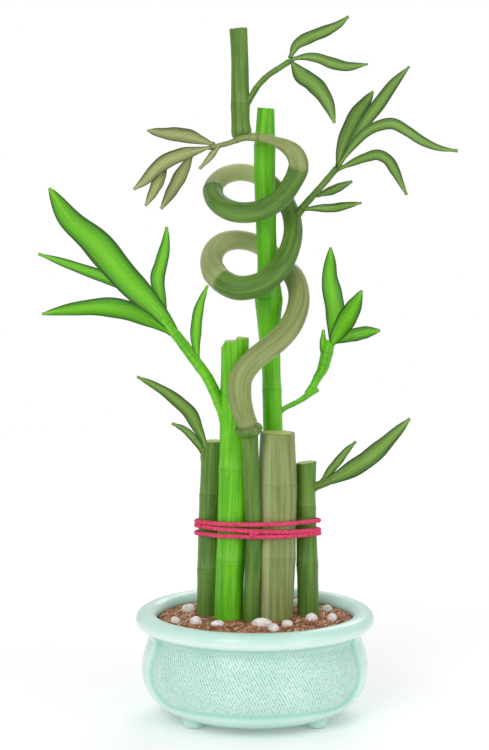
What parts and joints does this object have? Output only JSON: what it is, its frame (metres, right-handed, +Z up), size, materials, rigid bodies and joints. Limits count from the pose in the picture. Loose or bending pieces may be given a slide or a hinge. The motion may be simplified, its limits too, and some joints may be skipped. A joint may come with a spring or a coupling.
{
  "type": "lucky bamboo in a bowl",
  "caption": "Potted lucky bamboo: cut canes tied in a bundle in a footed glazed bowl of soil and pebbles, one cane trained in coils, with leafy side shoots.",
  "frame": {"origin": "on the surface it stands on, under the middle of the whole plant's box; the bowl's axis is 5.9 mm to the +X side", "axes": "+Z up along the canes, the front of the plant towards -Y, +X to the viewer's right"},
  "size_m": [0.2596, 0.1506, 0.4408],
  "materials": {
    "glaze": "glossy pale celadon glaze",
    "soil": "damp granular soil",
    "pebble": "smooth matt pebble",
    "cane_dark": "waxy dark green skin",
    "cane_bright": "waxy bright green skin",
    "cane_olive": "satin olive skin",
    "cane_curly": "waxy skin, dark green and olive by turns",
    "leaf_dark": "satin dark green leaf",
    "leaf_bright": "satin bright green leaf",
    "leaf_olive": "satin olive leaf",
    "cord": "twisted soft cord"
  },
  "bodies": {
    "root": {"pot": "glaze", "soil": "soil", "pebble_01": "pebble", "pebble_02": "pebble", "pebble_03": "pebble", "pebble_04": "pebble", "pebble_05": "pebble", "pebble_06": "pebble", "pebble_07": "pebble", "pebble_08": "pebble", "pebble_09": "pebble", "pebble_10": "pebble", "pebble_11": "pebble", "pebble_12": "pebble", "pebble_13": "pebble", "pebble_14": "pebble", "cane_left": "cane_dark", "cane_bright": "cane_bright", "cane_olive": "cane_olive", "cane_right": "cane_dark", "cane_tall": "cane_bright", "cane_curly": "cane_curly", "shoot_a": "leaf_dark", "shoot_b": "leaf_dark", "shoot_c": "leaf_bright", "shoot_d": "leaf_dark", "shoot_e": "leaf_bright", "shoot_f": "leaf_olive", "shoot_g": "leaf_dark", "tie": "cord"}
  },
  "joints": []
}
